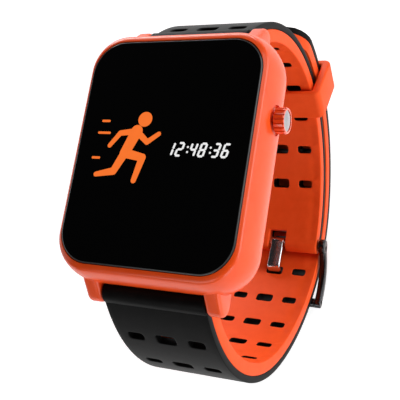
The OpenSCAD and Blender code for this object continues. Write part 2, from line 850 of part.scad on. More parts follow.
// One layer of the lower half, from t1 to t2 outside the face between the layers
module lower_layer(t1, t2) {
    difference() {
        layer(lower_route(t1), lower_route(t2));
        for (i = [-rows_back : rows_on]) {
            at = lower_at(tongue_s + i * row_pitch);
            hole_row(at[0], at[1] + t1, at[1] + t2, at[2]);
        }
        // rounded corners of the tail
        corner_a = tail_corner_r / lap_r * 180 / PI;
        at_angle([0, 0], tail_angle + corner_a) translate([0, 0, -lap_out_r - 2])
            linear_extrude(inner_t + outer_t + 4) difference() {
                translate([-strap_w, 0]) square([2 * strap_w, 2 * tail_corner_r]);
                translate([-strap_w / 2 + tail_corner_r, -1])
                    square([strap_w - 2 * tail_corner_r, 2 * tail_corner_r + 2]);
                for (x = [-1, 1]) translate([x * (strap_w / 2 - tail_corner_r), 0])
                    circle(tail_corner_r);
            }
    }
}

module lower_strap_outer() {
    color(black_col) difference() {
        union() {
            lower_layer(0, outer_t);
            rod_x(-strap_w / 2, strap_w, barrel_r, -pin_y, pin_z);
        }
        rod_x(-strap_w, 2 * strap_w, bar_r + slip, -pin_y, pin_z);
    }
}

module lower_strap_inner() {
    color(orange_col) difference() {
        lower_layer(-inner_t, 0);
        rod_x(-strap_w, 2 * strap_w, barrel_r, -pin_y, pin_z);
    }
}

// ---- buckle and keeper ----

// A bent strip in the plane of the loop, t thick, through the given points
module strip(points, t) {
    for (i = [0 : len(points) - 2]) {
        v = points[i + 1] - points[i];
        translate(points[i]) rotate(atan2(v.y, v.x)) translate([0, -t / 2]) square([norm(v), t]);
    }
    for (p = points) translate(p) circle(t / 2);
}

// Centre of the circle of radius r through two points, on the loop's side
function bow_centre(p, q, r) =
    let (m = (p + q) / 2, h = (q - p) / 2, n = [h.y, -h.x] / norm(h))
    m + sqrt(r * r - h * h) * (m * n > 0 ? -n : n);

module buckle_frame() {
    c = bow_centre(buckle_pos, crossbar_pos, arm_bow_r);
    a1 = dir_angle(crossbar_pos - c);
    a2 = dir_angle(buckle_pos - c);
    color(dark_metal_col) difference() {
        union() {
            for (x = [-1, 1]) translate([x * (arm_x + arm_t / 2), 0, 0]) {
                ring_band(c, arm_bow_r - arm_h / 2, arm_bow_r + arm_h / 2, a1, a2, arm_t);
                loop_rod(buckle_pos, ear_r, -arm_t / 2, arm_t);
                loop_rod(crossbar_pos, arm_h / 2, -arm_t / 2, arm_t);
            }
            loop_rod(crossbar_pos, crossbar_r, -arm_x - arm_t, 2 * (arm_x + arm_t));
        }
        loop_rod(buckle_pos, tip_r + slip, -strap_w, 2 * strap_w);
    }
}

module buckle_tongue() {
    arm_r = end_r - tongue_drop;
    bend_a = tongue_angle + tongue_bend;
    foot = arm_r * out_dir(bend_a);
    leg_top = tongue_point + (outer_t + tongue_rise) * out_dir(tongue_dir) - [tongue_drop, 0];
    over_bar = crossbar_pos + (crossbar_r + tongue_seat + tongue_t / 2) * out_dir(crossbar_angle);
    tip = over_bar + tongue_nose * out_dir(crossbar_angle + nose_angle);
    color(dark_metal_col) difference() {
        union() {
            along_x(-tongue_w / 2, tongue_w) translate([0, loop_z]) {
                strip([leg_top, over_bar, tip], tongue_t);
                strip([foot, leg_top], tongue_t);
            }
            ring_band([0, 0], arm_r - tongue_t / 2, arm_r + tongue_t / 2, bend_a, buckle_angle,
                      tongue_w);
            loop_rod(buckle_pos, hub_r, -tongue_w / 2, tongue_w);
        }
        loop_rod(buckle_pos, bar_r + slip, -strap_w, 2 * strap_w);
    }
}

module keeper() {
    room_in = in_r - loose;
    room_out = lap_out_r + loose;
    room_w = strap_w + 2 * loose;
    span = 2 * keeper_l / room_in * 180 / PI;
    a1 = keeper_angle + span / 2;
    a2 = keeper_angle - span / 2;
    color(orange_col) intersection() {
        difference() {
            ring_band([0, 0], room_in - keeper_in, room_out + keeper_out, a1, a2,
                      room_w + 2 * keeper_side);
            ring_band([0, 0], room_in, room_out, a1 + 1, a2 - 1, room_w);
        }
        // the ends are parallel
        at_angle([0, 0], keeper_angle) translate([-strap_w, -keeper_l / 2, -2 * mid_r])
            cube([2 * strap_w, keeper_l, 2 * mid_r]);
    }
}

case_body();
rear_cover();
rear_gasket();
rear_screws();
sensor_window();
sensor_board();
sensor_leds();
photodiode();
charge_contacts();
cover_glass();
glass_adhesive();
display_panel();
display_flex();
chassis();
main_board();
board_chips();
shield_can();
gps_antenna();
battery();
battery_pad();
battery_plug();
motor_can();
motor_rotor();
crown_tube();
crown_collar();
crown_stem();
crown_oring();
crown_cap();
crown_disc();
switch_body();
switch_plunger();
upper_bar();
upper_tip_left();
upper_tip_right();
upper_spring();
lower_bar();
lower_tip_left();
lower_tip_right();
lower_spring();
buckle_bar();
buckle_tip_left();
buckle_tip_right();
buckle_spring();
upper_strap_outer();
upper_strap_inner();
lower_strap_outer();
lower_strap_inner();
buckle_frame();
buckle_tongue();
keeper();
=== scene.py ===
"""Looks of the running watch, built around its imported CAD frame.

Lengths here are millimetres in the row frame until MM turns them into metres.
"""
import math

import bmesh
import bpy
from mathutils import Matrix, Vector


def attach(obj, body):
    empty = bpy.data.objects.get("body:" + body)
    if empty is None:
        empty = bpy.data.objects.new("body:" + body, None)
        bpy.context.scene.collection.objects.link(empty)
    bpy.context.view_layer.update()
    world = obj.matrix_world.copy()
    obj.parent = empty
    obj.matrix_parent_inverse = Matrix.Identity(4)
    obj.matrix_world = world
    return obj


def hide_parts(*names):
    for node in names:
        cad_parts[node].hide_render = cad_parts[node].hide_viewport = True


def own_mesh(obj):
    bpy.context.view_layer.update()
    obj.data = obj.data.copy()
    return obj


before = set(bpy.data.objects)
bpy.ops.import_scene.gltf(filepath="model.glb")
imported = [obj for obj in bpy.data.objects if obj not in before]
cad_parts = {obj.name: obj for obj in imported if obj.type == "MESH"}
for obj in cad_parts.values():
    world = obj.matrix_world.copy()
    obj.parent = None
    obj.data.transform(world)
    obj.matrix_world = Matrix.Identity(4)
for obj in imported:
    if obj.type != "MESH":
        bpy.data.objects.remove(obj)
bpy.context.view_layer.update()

MM = 0.001

# ---- sizes shared with part.scad ----
CASE_W, CASE_L, CASE_T, CORNER_R, SIDE_R = 36.4, 45.4, 10.8, 7.6, 11.0
SIDE_WALL, END_WALL, RIM_W, RIM_END = 3.5, 3.8, 1.7, 2.3
GLASS_T, GLASS_BEVEL, COVER_T, COVER_LEDGE = 1.1, 0.25, 1.3, 1.2
LUG_REACH, PIN_Z, LUG_T, LUG_R = 1.1, 2.6, 3.0, 2.0
STRAP_W, INNER_T, OUTER_T, LOOP_DROP, LAP_GAP = 20.0, 2.5, 1.4, 22.2, 0.9
ROW_PITCH, FIRST_ROW, COLUMN_X = 9.2, 3.8, 6.1
HOLE_W, HOLE_H, SIDE_HOLE_W, SIDE_HOLE_H = 3.9, 2.3, 3.2, 1.9
TAIL_ANGLE, BUCKLE_ANGLE, TONGUE_ANGLE, CROSSBAR_ANGLE = -87.0, 3.2, 15.3, 23.2
ARM_T, CROSSBAR_R, TONGUE_W, TONGUE_T = 1.6, 1.1, 3.2, 1.0
KEEPER_L, KEEPER_ANGLE, KEEPER_IN, KEEPER_OUT, KEEPER_SIDE = 7.4, -61.5, 1.2, 1.7, 1.9
CROWN_Y, CROWN_R, CROWN_L, CROWN_TRAVEL, CROWN_GROOVES = 7.6, 2.25, 2.0, 0.3, 18
FIT, LOOSE, BARREL_ROOM = 0.1, 0.35, 0.35
ADHESIVE_T, CAVITY_R, LUG_STEP, LUG_RISE = 0.15, 4.0, 0.35, 2.1
ARM_BOW_R, ARM_H, EAR_R, HUB_R, BARREL_R = 12.0, 1.9, 1.7, 1.35, 2.0
CROSSBAR_SEAT, TONGUE_SEAT, TONGUE_DROP, TONGUE_BEND = 0.25, 0.1, 0.35, 0.9
TONGUE_RISE, TONGUE_NOSE, NOSE_ANGLE = 0.9, 2.2, 80
ROW_MARGIN, UPPER_MARGIN, HOLE_CORNER, TAIL_R, NOTCH_ANGLE, CAP_ANGLE = 6, 14, 0.6, 6.0, 5, 1.8
SPRING_R, WIRE_R, SPRING_COILS, TIP_TRAVEL = 0.5, 0.12, 12, 1.2
BAR_SHORT, BAR_END_T, TIP_FLANGE_T, POCKET_DEPTH = 0.4, 0.4, 0.5, 0.5
FLANGE_X = (STRAP_W - BAR_SHORT) / 2 - BAR_END_T - TIP_FLANGE_T - FIT     # a tip's inner end

HALF_T = CASE_T / 2
GLASS_Z = CASE_T - GLASS_T
PIN_Y = CASE_L / 2 + LUG_REACH
LOOP_Z = -LOOP_DROP
MID_R = math.hypot(PIN_Y, PIN_Z - LOOP_Z)
IN_R = MID_R - INNER_T
OUT_R = MID_R + OUTER_T
LAP_R = OUT_R + LAP_GAP + INNER_T
LAP_OUT_R = LAP_R + OUTER_T
PIN_ANGLE = 90 + math.degrees(math.atan2(PIN_Z - LOOP_Z, PIN_Y))
END_R = (IN_R + OUT_R) / 2
END_BARREL_R = (OUT_R - IN_R) / 2


# ---- plane of the loop: 2-D vectors (y, z) from the loop's centre ----
def out_dir(a):
    """Direction of a loop angle, measured from straight down towards 6 o'clock."""
    return Vector((-math.sin(math.radians(a)), -math.cos(math.radians(a))))


def dir_angle(v):
    return math.degrees(math.atan2(-v[0], -v[1]))


# Two arcs lift the lower half from the loop's own circle to the one it laps the upper half on
RISE_START, RISE_END = 62.0, -14.0
RISE = LAP_R - MID_R
VERSINE = 1 - math.cos(math.radians(RISE_START - RISE_END))
ARC_SHIFT = (2 * RISE + math.sqrt(4 * RISE ** 2 - 2 * VERSINE * RISE ** 2)) / (2 * VERSINE)
ORIGIN = Vector((0, 0))
FLAT_C, FLAT_R = -ARC_SHIFT * out_dir(RISE_START), MID_R + ARC_SHIFT
TIGHT_C, TIGHT_R = ARC_SHIFT * out_dir(RISE_END), LAP_R - ARC_SHIFT
TURN = dir_angle(TIGHT_C - FLAT_C)
TURN_SEEN = dir_angle(FLAT_C + FLAT_R * out_dir(TURN))


def arc_hit(c, r, a):
    """Distance from the loop's centre to the circle c, r in the direction a."""
    d = c.dot(out_dir(a))
    return d + math.sqrt(r * r - c.dot(c) + d * d)


def lower_radius(a):
    """Distance from the loop's centre to the lower half's middle face."""
    if a > TURN_SEEN:
        return arc_hit(FLAT_C, FLAT_R, a)
    return arc_hit(TIGHT_C, TIGHT_R, a)


# The lower half's arcs: centre, radius, first and last angle
LOWER_ARCS = ((ORIGIN, MID_R, PIN_ANGLE, RISE_START), (FLAT_C, FLAT_R, RISE_START, TURN),
              (TIGHT_C, TIGHT_R, TURN, RISE_END), (ORIGIN, LAP_R, RISE_END, TAIL_ANGLE))
LOWER_LEN = [math.radians(a1 - a2) * r for _, r, a1, a2 in LOWER_ARCS]
UPPER_LEN = math.radians(PIN_ANGLE + BUCKLE_ANGLE) * MID_R


def lower_at(s):
    """Place and outward direction on the middle face, s along the lower half."""
    for (c, r, a1, a2), length in zip(LOWER_ARCS, LOWER_LEN):
        if s <= length or a2 == TAIL_ANGLE:
            a = a1 - math.degrees(s / r)
            return c + r * out_dir(a), out_dir(a)
        s -= length


def upper_at(s):
    """Place and outward direction on the middle face, s along the upper half."""
    a = math.degrees(s / MID_R) - PIN_ANGLE
    return MID_R * out_dir(a), out_dir(a)


TONGUE_POINT = lower_radius(TONGUE_ANGLE) * out_dir(TONGUE_ANGLE)
TONGUE_DIR = dir_angle(TONGUE_POINT - TIGHT_C)
TONGUE_S = LOWER_LEN[0] + LOWER_LEN[1] + math.radians(TURN - TONGUE_DIR) * TIGHT_R
BUCKLE_POS = END_R * out_dir(BUCKLE_ANGLE)
CROSSBAR_POS = ((lower_radius(CROSSBAR_ANGLE) + OUTER_T + CROSSBAR_SEAT + CROSSBAR_R)
                * out_dir(CROSSBAR_ANGLE))


# ---- materials ----
def new_material(name, **shader):
    """A node material: its principled shader's own sockets hold what is the same all over."""
    mat = bpy.data.materials.new(name)
    mat.use_nodes = True
    bsdf = mat.node_tree.nodes["Principled BSDF"]
    for socket, value in shader.items():
        bsdf.inputs[socket.replace("_", " ")].default_value = value
    return mat


def grained(name, colours, scale, bump, depth, rough, **shader):
    """Material with mottled colour between two tones, fine relief and uneven roughness."""
    mat = new_material(name, **shader)
    nodes, links = mat.node_tree.nodes, mat.node_tree.links
    bsdf = nodes["Principled BSDF"]
    place = nodes.new("ShaderNodeTexCoord")
    broad = nodes.new("ShaderNodeTexNoise")
    broad.inputs["Scale"].default_value = scale / 8
    broad.inputs["Detail"].default_value = 3
    fine = nodes.new("ShaderNodeTexNoise")
    fine.inputs["Scale"].default_value = scale
    fine.inputs["Detail"].default_value = 4
    for noise in (broad, fine):
        links.new(place.outputs["Object"], noise.inputs["Vector"])
    ramp = nodes.new("ShaderNodeValToRGB")
    ramp.color_ramp.elements[0].position = 0.3
    ramp.color_ramp.elements[1].position = 0.7
    ramp.color_ramp.elements[0].color = (*colours[0], 1)
    ramp.color_ramp.elements[1].color = (*colours[1], 1)
    links.new(broad.outputs["Fac"], ramp.inputs["Fac"])
    links.new(ramp.outputs["Color"], bsdf.inputs["Base Color"])
    relief = nodes.new("ShaderNodeBump")
    relief.inputs["Strength"].default_value = bump
    relief.inputs["Distance"].default_value = depth
    links.new(fine.outputs["Fac"], relief.inputs["Height"])
    links.new(relief.outputs["Normal"], bsdf.inputs["Normal"])
    spread = nodes.new("ShaderNodeMapRange")
    spread.inputs["To Min"].default_value = rough[0]
    spread.inputs["To Max"].default_value = rough[1]
    links.new(fine.outputs["Fac"], spread.inputs["Value"])
    links.new(spread.outputs["Result"], bsdf.inputs["Roughness"])
    return mat


MOULDED, POLISHED = 0.00002, 0.00001      # depth of a surface's relief, in metres
CORAL = ((0.86, 0.074, 0.007), (0.90, 0.084, 0.010))

# Case and crown: pigmented plastic with a very fine moulding texture under a clear coat
shell = grained("moulded_orange", CORAL, 2600, 0.06, MOULDED, (0.36, 0.44),
                Specular_IOR_Level=0.0, Coat_Weight=0.8, Coat_Roughness=0.26)
crown_shell = grained("lacquered_orange", CORAL, 2600, 0.04, MOULDED, (0.30, 0.38),
                      Specular_IOR_Level=0.3, Coat_Weight=1.0, Coat_Roughness=0.07)
# Silicone rubber, orange and black: matt and slightly mottled
rubber_orange = grained("silicone_orange", ((0.84, 0.080, 0.010), (0.89, 0.092, 0.014)),
                        3400, 0.10, MOULDED, (0.46, 0.56), Specular_IOR_Level=0.1)
rubber_black = grained("silicone_black", ((0.004, 0.004, 0.004), (0.006, 0.006, 0.006)),
                       3400, 0.12, MOULDED, (0.42, 0.50), Specular_IOR_Level=0.07, IOR=1.4)
glass_black = grained("black_glass", ((0.0004, 0.0004, 0.0005), (0.0007, 0.0007, 0.0008)),
                      300, 0.004, POLISHED, (0.03, 0.05), IOR=1.5)
# Glass bevel: rougher, like a ground edge, and a lighter grey than the face; the grey is a painted
# highlight along the glass's edge
glass_bevel_highlight = grained("ground_glass_bevel_highlight", ((0.05, 0.05, 0.05), (0.08, 0.08, 0.08)),
                     900, 0.02, POLISHED, (0.14, 0.2), IOR=1.5)
steel = grained("polished_steel", ((0.62, 0.63, 0.65), (0.72, 0.73, 0.75)),
                1800, 0.03, POLISHED, (0.12, 0.2), Metallic=1.0)
chrome = grained("chromed_steel", ((0.58, 0.58, 0.60), (0.66, 0.66, 0.68)),
                 700, 0.015, POLISHED, (0.16, 0.22), Metallic=1.0)
spun_steel = grained("spun_steel", ((0.30, 0.30, 0.31), (0.50, 0.49, 0.50)),
                     1500, 0.03, POLISHED, (0.14, 0.22), Metallic=1.0)
gunmetal = grained("black_nickel", ((0.030, 0.030, 0.032), (0.050, 0.050, 0.053)),
                   2200, 0.05, POLISHED, (0.2, 0.3), Metallic=1.0)
black_plastic = grained("moulded_black", ((0.012, 0.012, 0.014), (0.02, 0.02, 0.022)),
                        2600, 0.2, MOULDED, (0.4, 0.5))
board = grained("solder_mask", ((0.01, 0.075, 0.03), (0.015, 0.1, 0.04)),
                1500, 0.1, POLISHED, (0.3, 0.4))
amber = grained("polyimide", ((0.42, 0.16, 0.03), (0.5, 0.2, 0.04)),
                900, 0.05, POLISHED, (0.3, 0.4))
grey = grained("die_cast_grey", ((0.14, 0.15, 0.16), (0.2, 0.21, 0.22)),
               1500, 0.15, POLISHED, (0.35, 0.5), Metallic=0.6)
gold = grained("gold_plate", ((0.75, 0.5, 0.2), (0.82, 0.58, 0.26)),
               1500, 0.03, POLISHED, (0.15, 0.25), Metallic=1.0)
ceramic = grained("ceramic", ((0.7, 0.65, 0.55), (0.78, 0.73, 0.63)),
                  1500, 0.1, POLISHED, (0.4, 0.5))


def light_ink(name, colour, strength):
    """Lit display ink, with the faint unevenness of a pixel panel."""
    mat = new_material(name, Emission_Strength=strength, Roughness=0.4)
    nodes, links = mat.node_tree.nodes, mat.node_tree.links
    bsdf = nodes["Principled BSDF"]
    place = nodes.new("ShaderNodeTexCoord")
    noise = nodes.new("ShaderNodeTexNoise")
    noise.inputs["Scale"].default_value = 900
    ramp = nodes.new("ShaderNodeValToRGB")
    ramp.color_ramp.elements[0].color = (*[c * 0.9 for c in colour], 1)
    ramp.color_ramp.elements[1].color = (*colour, 1)
    links.new(place.outputs["Object"], noise.inputs["Vector"])
    links.new(noise.outputs["Fac"], ramp.inputs["Fac"])
    links.new(ramp.outputs["Color"], bsdf.inputs["Emission Color"])
    bsdf.inputs["Base Color"].default_value = (0, 0, 0, 1)
    bsdf.inputs["Specular IOR Level"].default_value = 0.1
    return mat


ink_orange = light_ink("ink_orange", (0.68, 0.13, 0.02), 1.45)
ink_white = light_ink("ink_white", (0.9, 0.9, 0.9), 1.0)


# ---- mesh helpers ----
def stitch(loops, ring=False):
    """Vertices and faces of a tube through loops of equal length, closed by caps or as a ring."""
    n = len(loops[0])
    verts = [p for loop in loops for p in loop]
    faces = []
    for i in range(len(loops) if ring else len(loops) - 1):
        a, b = i * n, (i + 1) % len(loops) * n
        faces += [(a + j, a + (j + 1) % n, b + (j + 1) % n, b + j) for j in range(n)]
    if not ring:
        faces.append(tuple(range(n))[::-1])
        faces.append(tuple(range((len(loops) - 1) * n, len(loops) * n)))
    return verts, faces


def joined(*parts):
    """Several (vertices, faces) as one."""
    verts, faces = [], []
    for part_verts, part_faces in parts:
        base = len(verts)
        verts += list(part_verts)
        faces += [tuple(base + i for i in face) for face in part_faces]
    return verts, faces


def face_outwards(mesh):
    work = bmesh.new()
    work.from_mesh(mesh)
    bmesh.ops.recalc_face_normals(work, faces=work.faces)
    work.to_mesh(mesh)
    work.free()


def piece(name, geometry, material, body="case", stands_for=(), smooth=38, riding=True):
    """A mesh object in the row frame from vertices in millimetres, riding on its body."""
    mesh = bpy.data.meshes.new(name)
    mesh.from_pydata([(x * MM, y * MM, z * MM) for x, y, z in geometry[0]], [], geometry[1])
    face_outwards(mesh)
    mesh.materials.append(material)
    obj = bpy.data.objects.new(name, mesh)
    bpy.context.scene.collection.objects.link(obj)
    finish_mesh(obj, smooth)
    if riding:
        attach(obj, body)
        if stands_for:
            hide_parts(*stands_for)
    return obj


def finish_mesh(obj, smooth):
    """Smooth shading, with edges sharper than smooth degrees left sharp."""
    for polygon in obj.data.polygons:
        polygon.use_smooth = True
    obj.data.set_sharp_from_angle(angle=math.radians(smooth))


def applied(obj):
    """The object's mesh with its modifiers applied to it."""
    graph = bpy.context.evaluated_depsgraph_get()
    mesh = bpy.data.meshes.new_from_object(obj.evaluated_get(graph))
    obj.modifiers.clear()
    obj.data = mesh
    return obj


def combine(obj, others, operation):
    """Boolean of obj with helper objects, which are then removed."""
    for other in others:
        modifier = obj.modifiers.new("cut", "BOOLEAN")
        modifier.operation = operation
        modifier.solver = "EXACT"
        modifier.object = other
    applied(obj)
    for other in others:
        bpy.data.objects.remove(other)


def rounded_loop(hw, hl, r, z):
    """Points of a rounded rectangle in the plane z, corner by corner."""
    corner, side = 14, (10, 14)
    centres = [(hw - r, hl - r), (r - hw, hl - r), (r - hw, r - hl), (hw - r, r - hl)]
    arcs = []
    for k, (cx, cy) in enumerate(centres):
        angles = [math.radians(90 * (k + i / corner)) for i in range(corner + 1)]
        arcs.append([(cx + r * math.cos(a), cy + r * math.sin(a)) for a in angles])
    points = []
    for k, arc in enumerate(arcs):
        (x0, y0), (x1, y1) = arc[-1], arcs[(k + 1) % 4][0]
        n = side[k % 2]
        points += arc + [(x0 + (x1 - x0) * i / n, y0 + (y1 - y0) * i / n) for i in range(1, n)]
    return [(x, y, z) for x, y in points]


def lathe_x(profile, y, z, n=64, wave=None):
    """Solid of revolution about a line along X: profile of (x, radius), capped at its ends.

    wave(radius, i) scales the radius of point i round the line."""
    loops = []
    for x, r in profile:
        loop = []
        for i in range(n):
            a = 2 * math.pi * i / n
            rr = r * (wave(r, i) if wave else 1)
            loop.append((x, y + rr * math.cos(a), z + rr * math.sin(a)))
        loops.append(loop)
    return stitch(loops)


def rounded_rod(x0, x1, r, y, z, lip):
    """Rod along X with rounded ends."""
    turn = [math.radians(90 * i / 4) for i in range(5)]
    start = [(x0 + lip - lip * math.cos(a), r - lip + lip * math.sin(a)) for a in turn]
    end = [(x1 - lip + lip * math.sin(a), r - lip + lip * math.cos(a)) for a in turn]
    return lathe_x(start + end, y, z, 48)


def rounded_rect(w, h, r, n):
    """Closed outline of a w by h rectangle with rounded corners, about the origin."""
    points = []
    for k, (sx, sy) in enumerate(((1, 1), (-1, 1), (-1, -1), (1, -1))):
        for i in range(n + 1):
            a = math.radians(90 * (k + i / n))
            points.append((sx * (w / 2 - r) + r * math.cos(a), sy * (h / 2 - r) + r * math.sin(a)))
    return points


def loop_point(x, p):
    """3-D point from x and a place in the plane of the loop."""
    return (x, p[0], LOOP_Z + p[1])


def swept(path, section):
    """Tube along a path in the plane of the loop. The section's points are (x, outward)."""
    loops = []
    for i, p in enumerate(path):
        before, after = path[max(i - 1, 0)], path[min(i + 1, len(path) - 1)]
        along = (after - before).normalized()
        normal = Vector((along[1], -along[0]))
        loops.append([loop_point(x, p + normal * t) for x, t in section])
    return stitch(loops)


# ---- camera, fitted to the photograph's view of the watch ----
camera_data = bpy.data.cameras.new("camera")
camera_data.sensor_width = 36
camera_data.lens = 67.17
camera_data.clip_start = 0.005
camera = bpy.data.objects.new("camera", camera_data)
bpy.context.scene.collection.objects.link(camera)
camera_right = Vector((0.9023, 0.1601, -0.4002)).normalized()
camera_back = Vector((0.4271, -0.2066, 0.8803)).normalized()
camera_up = camera_back.cross(camera_right).normalized()
camera_right = camera_up.cross(camera_back)
camera.matrix_world = Matrix.Translation((0.060566, -0.032930, 0.116814)) @ Matrix(
    (camera_right, camera_up, camera_back)).transposed().to_4x4()
bpy.context.scene.camera = camera


# ---- case ----
RIM_FILLET, BACK_FILLET = 1.6, 1.1        # the rim is rounder here than in part.scad
LUG_ROOT, LUG_ROUND = 3, 0.75             # a lug's reach into the case's wall, and its edges
SEAT_CHAMFER = 0.12
OPENING_ROUND, OPENING_STEP, OPENING_STEP_Z = 0.1, 0.04, 0.25


def side_inset(z):
    """Inset of the bulging side at a height."""
    return SIDE_R - math.sqrt(SIDE_R ** 2 - (z - HALF_T) ** 2)


def fillet(r):
    """Centre inset and end angle of the fillet between the side and the front or back."""
    reach = math.sqrt((SIDE_R - r) ** 2 - (HALF_T - r) ** 2)
    tangent = math.asin((HALF_T - r) / (SIDE_R - r))
    return SIDE_R - reach, tangent


def case_profile():
    """(inset, z) pairs up the outside, from the back face to near the glass."""
    steps, side_steps = 7, 13
    inset, tangent = fillet(BACK_FILLET)
    points = []
    for i in range(steps + 1):
        a = math.radians(-90) + (math.radians(90) - tangent) * i / steps
        points.append((inset - BACK_FILLET * math.cos(a), BACK_FILLET + BACK_FILLET * math.sin(a)))
    top_inset, top_tangent = fillet(RIM_FILLET)
    z0 = points[-1][1]
    z1 = CASE_T - RIM_FILLET + RIM_FILLET * math.sin(top_tangent)
    for i in range(1, side_steps):
        z = z0 + (z1 - z0) * i / side_steps
        points.append((side_inset(z), z))
    last = math.acos((top_inset - RIM_W + 2 * OPENING_ROUND) / RIM_FILLET)
    for i in range(steps + 1):
        a = top_tangent + (last - top_tangent) * i / steps
        points.append((top_inset - RIM_FILLET * math.cos(a),
                       CASE_T - RIM_FILLET + RIM_FILLET * math.sin(a)))
    return points


def rim_height(inset):
    """Height of the rim's rounded top at an inset from the outline."""
    top_inset, _ = fillet(RIM_FILLET)
    d = min(max(top_inset - inset, 0), RIM_FILLET)
    return CASE_T - RIM_FILLET + math.sqrt(RIM_FILLET ** 2 - d ** 2)


def outline_inset(x, y):
    """How far a point of the plan lies inside the case's outline."""
    cx, cy = abs(x) - (CASE_W / 2 - CORNER_R), abs(y) - (CASE_L / 2 - CORNER_R)
    if cx > 0 and cy > 0:
        return CORNER_R - math.hypot(cx, cy)
    return CORNER_R - max(cx, cy)


def outer_loop(inset, z):
    return rounded_loop(CASE_W / 2 - inset, CASE_L / 2 - inset, CORNER_R - inset, z)


def opening(grow, z):
    """The glass opening's outline. z None puts it on the rim's surface."""
    loop = rounded_loop(CASE_W / 2 - RIM_W + grow, CASE_L / 2 - RIM_END + grow,
                        CORNER_R - RIM_W + grow, z or 0)
    if z is None:
        loop = [(x, y, rim_height(outline_inset(x, y)) - max(-grow, 0)) for x, y, _ in loop]
    return loop


CAVITY = (CASE_W / 2 - SIDE_WALL, CASE_L / 2 - END_WALL, CAVITY_R)
SEAT = tuple(v + COVER_LEDGE for v in CAVITY)      # of the rear cover
SEAT_Z = GLASS_Z - ADHESIVE_T                      # of the glass


def case_loops():
    """Rings of the case: from the cover's seat up the outside, and down the glass's opening."""
    loops = [rounded_loop(*SEAT, COVER_T), rounded_loop(*SEAT, SEAT_CHAMFER),
             rounded_loop(*[v + SEAT_CHAMFER for v in SEAT], 0)]
    loops += [outer_loop(inset, z) for inset, z in case_profile()]
    step_loop = opening(-OPENING_STEP, None)
    loops += [opening(OPENING_ROUND, None), opening(0, None),
              [(x, y, z - OPENING_STEP_Z) for x, y, z in step_loop],
              opening(-OPENING_STEP, SEAT_Z)]
    loops += [rounded_loop(*CAVITY, SEAT_Z), rounded_loop(*CAVITY, COVER_T)]
    return loops


def lug_shape(end, side):
    """Lug beside the strap, as a bevelled prism."""
    root_y = CASE_L / 2 - LUG_ROOT
    top = Vector((CASE_L / 2 - LUG_STEP, PIN_Z + LUG_RISE * LUG_R))
    pin = Vector((PIN_Y, PIN_Z))
    to_top = top - pin
    lean = math.atan2(to_top.y, to_top.x) - math.acos(LUG_R / to_top.length)
    outline = [Vector((root_y, PIN_Z - LUG_R))]
    steps = 14
    for i in range(steps + 1):
        a = math.radians(-90) + (lean + math.radians(90)) * i / steps
        outline.append(pin + LUG_R * Vector((math.cos(a), math.sin(a))))
    outline += [top, Vector((root_y, top.y))]
    x0 = side * (STRAP_W + 2 * FIT) / 2
    x1 = x0 + side * LUG_T
    loops = [[(x, end * p.x, p.y) for p in outline] for x in (x0, x1)]
    lug = piece("lug", stitch(loops), shell, riding=False)
    bevel = lug.modifiers.new("edges", "BEVEL")
    bevel.width = LUG_ROUND * MM
    bevel.segments = 5
    bevel.limit_method = "ANGLE"
    bevel.angle_limit = math.radians(50)
    return applied(lug)


def rod_cutter(x0, x1, r, y, z):
    return piece("cutter", lathe_x([(x0, r), (x1, r)], y, z), shell, riding=False)


case = piece("case_shell", stitch(case_loops(), ring=True), shell, riding=False)
combine(case, [lug_shape(end, side) for end in (-1, 1) for side in (-1, 1)], "UNION")
strap_room = [rod_cutter(-STRAP_W / 2 - FIT, STRAP_W / 2 + FIT, BARREL_R + BARREL_ROOM,
                         end * PIN_Y, PIN_Z) for end in (-1, 1)]
crown_pocket = rod_cutter(CASE_W / 2 - POCKET_DEPTH, CASE_W / 2 + 3, CROWN_R + LOOSE, CROWN_Y,
                          HALF_T)
combine(case, strap_room + [crown_pocket], "DIFFERENCE")
finish_mesh(case, 32)
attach(case, "case")
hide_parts("case_body")


# ---- cover glass ----
GLASS_SUNK = 0.012       # below the highest point of the rim
EDGE_LEAN = 0.02         # how far the bevel goes on leaning in after its arc


def glass_loops():
    hw, hl, r = CASE_W / 2 - RIM_W - FIT, CASE_L / 2 - RIM_END - FIT, CORNER_R - RIM_W
    top = CASE_T - GLASS_SUNK
    loops = [rounded_loop(hw, hl, r, GLASS_Z), rounded_loop(hw, hl, r, top - GLASS_BEVEL)]
    for t in (0.35, 0.7, 1.0):
        inset = GLASS_BEVEL * (1 - math.cos(t * math.pi / 2)) + EDGE_LEAN * t
        loops.append(rounded_loop(hw - inset, hl - inset, r - inset,
                                  top - GLASS_BEVEL * (1 - math.sin(t * math.pi / 2))))
    return loops


glass = piece("glass_front", stitch(glass_loops()), glass_black, stands_for=["cover_glass"],
              smooth=30)
# The bevel's faces take the lighter grey: a painted highlight round the glass's edge
glass.data.materials.append(glass_bevel_highlight)
for polygon in glass.data.polygons:
    if abs(polygon.normal.z) < 0.98:
        polygon.material_index = 1


# ---- strap ----
ROW_HALF = 1.9           # half of the band along the strap that holds a row of holes
SPLIT_X = 3.2            # between the middle column and the side columns
SIDE_STEPS = 6
FACE_L = 1.1             # about the length of a plain face along the strap
RIM_SHARE = 1.5          # weight of a hole's outline against its cell's, for the ring between
SLOT_MARGIN = 0.2        # how far round a hole's box its wall is looked for
CREASE_DEPTH = 0.3       # of the shallow line along each edge of the inner face
NOTCH_HALF = SPLIT_X * 2 / 3      # the notch is four steps of the middle column wide
STRAP_LIP, ROLL_LIP = 0.32, 0.35


def edge_points(x0, y0, x1, y1):
    """Boundary of a cell: SIDE_STEPS points on each side, anticlockwise from the corner x1, y1."""
    corners = ((x1, y1), (x0, y1), (x0, y0), (x1, y0))
    points = []
    for k, (ax, ay) in enumerate(corners):
        bx, by = corners[(k + 1) % 4]
        points += [(ax + (bx - ax) * i / SIDE_STEPS, ay + (by - ay) * i / SIDE_STEPS)
                   for i in range(SIDE_STEPS)]
    return points


